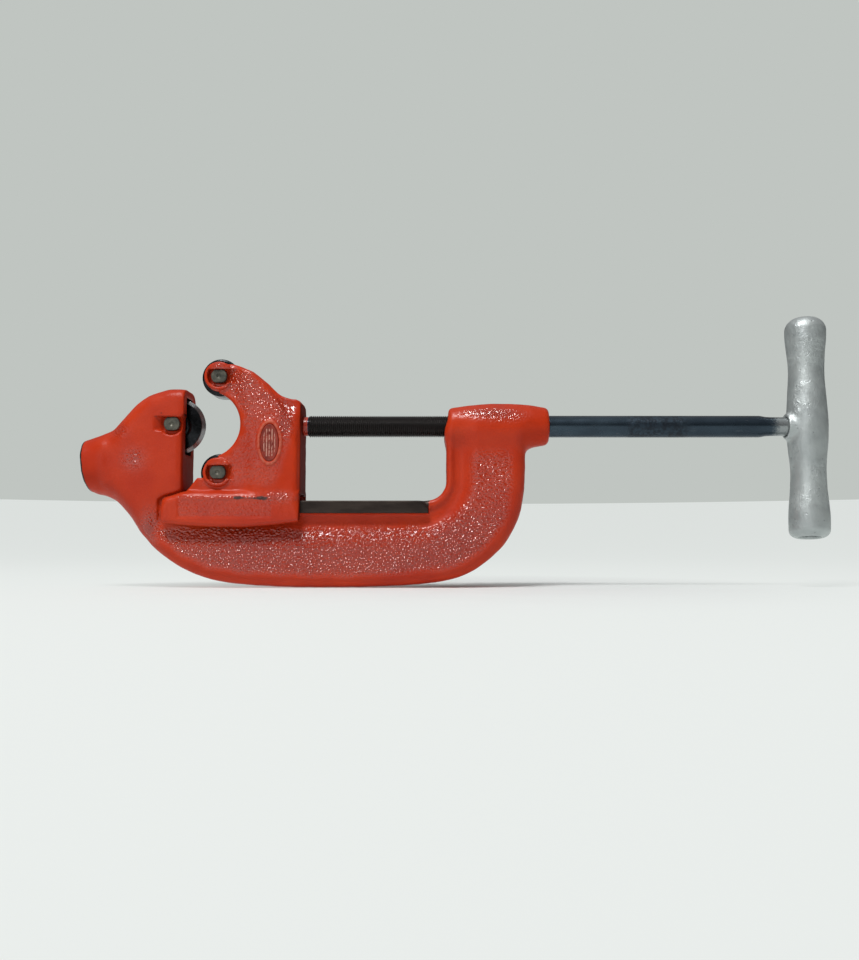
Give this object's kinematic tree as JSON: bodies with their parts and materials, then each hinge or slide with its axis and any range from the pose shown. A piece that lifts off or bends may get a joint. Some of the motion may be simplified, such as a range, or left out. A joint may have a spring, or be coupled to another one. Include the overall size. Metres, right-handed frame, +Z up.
{
  "type": "pipe cutter",
  "caption": "Heavy-duty C-frame pipe cutter: a screw with a T-handle drives a sliding roller housing along a rail towards a pinned cutter wheel.",
  "frame": {"origin": "the middle of the tool's footprint, on the floor that the belly of the frame touches", "axes": "+X along the feed screw towards the T-handle, +Z up from the frame's belly to the screw, -Y the side with the pin heads"},
  "size_m": [0.5979, 0.048, 0.2189],
  "materials": {
    "red_paint": "gloss orange-red paint over pebbled sand-cast iron",
    "black_oxide_steel": "blue-black oxide",
    "hard_steel": "oiled black hardened steel",
    "pin_steel": "dull grey",
    "clip_steel": "dark spring steel",
    "silver_paint": "satin aluminium paint over a lumpy casting",
    "label_foil": "printed foil"
  },
  "bodies": {
    "frame": {"frame_casting": "red_paint", "cutter_wheel_pin": "pin_steel", "cutter_wheel_pin_clip": "clip_steel"},
    "housing": {"roller_housing": "red_paint", "oval_label": "label_foil", "screw_retaining_clip": "clip_steel", "upper_roller_pin": "pin_steel", "upper_roller_pin_clip": "clip_steel", "lower_roller_pin": "pin_steel", "lower_roller_pin_clip": "clip_steel"},
    "screw": {"feed_screw": "black_oxide_steel", "t_handle": "silver_paint", "handle_drive_pin": "clip_steel"},
    "wheel": {"cutter_wheel": "hard_steel"},
    "upper_roller_body": {"upper_roller": "hard_steel"},
    "lower_roller_body": {"lower_roller": "hard_steel"}
  },
  "joints": [
    {"name": "housing_slide", "type": "slide", "parent": "frame", "child": "housing", "axis": [1, 0, 0], "range_m": [-0.002, 0.106]},
    {"name": "screw_turn", "type": "hinge", "parent": "housing", "child": "screw", "pos_m": [0, 0, 0.1284], "axis": [1, 0, 0], "range_deg": [-453, 24037]},
    {"name": "wheel_spin", "type": "hinge", "parent": "frame", "child": "wheel", "pos_m": [-0.226, 0, 0.1284], "axis": [0, 1, 0], "continuous": true},
    {"name": "upper_roller_spin", "type": "hinge", "parent": "housing", "child": "upper_roller_body", "pos_m": [-0.1897, 0, 0.1664], "axis": [0, 1, 0], "continuous": true},
    {"name": "lower_roller_spin", "type": "hinge", "parent": "housing", "child": "lower_roller_body", "pos_m": [-0.1897, 0, 0.0904], "axis": [0, 1, 0], "continuous": true}
  ],
  "couplings": [
    {"joint": "housing_slide", "follows": "screw_turn", "m_per_rad": 0.00025266}
  ]
}
